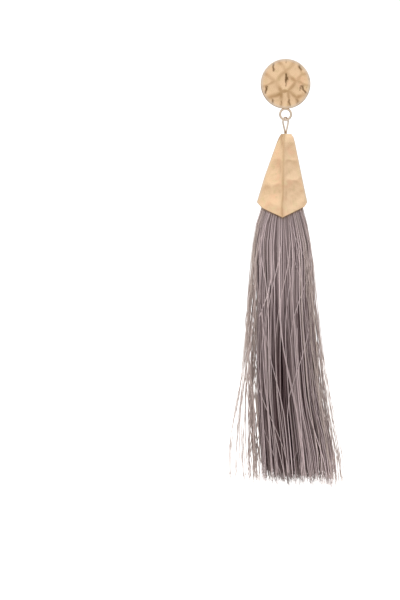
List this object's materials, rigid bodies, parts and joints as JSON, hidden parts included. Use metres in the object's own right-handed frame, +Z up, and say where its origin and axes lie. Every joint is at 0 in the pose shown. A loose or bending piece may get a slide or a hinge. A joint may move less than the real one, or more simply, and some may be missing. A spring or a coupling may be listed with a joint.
{
  "type": "tassel earring",
  "caption": "Long drop earring: a hammered round ear disc on a post, and a hammered four-sided cap with a thread tassel that swings from a ring below the disc.",
  "frame": {"origin": "on the axis of the ear post, at the back face of the disc, where the ear lobe sits", "axes": "+Z up along the hanging earring, -Y out of the disc's front, +Y along the post, +X to the viewer's right"},
  "size_m": [0.0257, 0.0214, 0.1141],
  "materials": {
    "hammered_gold": "satin pale gold plating over hammered metal",
    "plain_gold": "satin pale gold plating",
    "tassel_thread": "silky grey mauve thread"
  },
  "bodies": {
    "stud": {"stud_disc": "hammered_gold", "ear_post": "plain_gold"},
    "drop": {"eye_loop": "plain_gold", "tassel_cap": "hammered_gold", "tassel": "tassel_thread"}
  },
  "joints": [
    {"name": "drop_swing", "type": "hinge", "parent": "stud", "child": "drop", "pos_m": [0, -0.0008, -0.00816], "axis": [0, 1, 0], "range_deg": [-60, 60]}
  ]
}
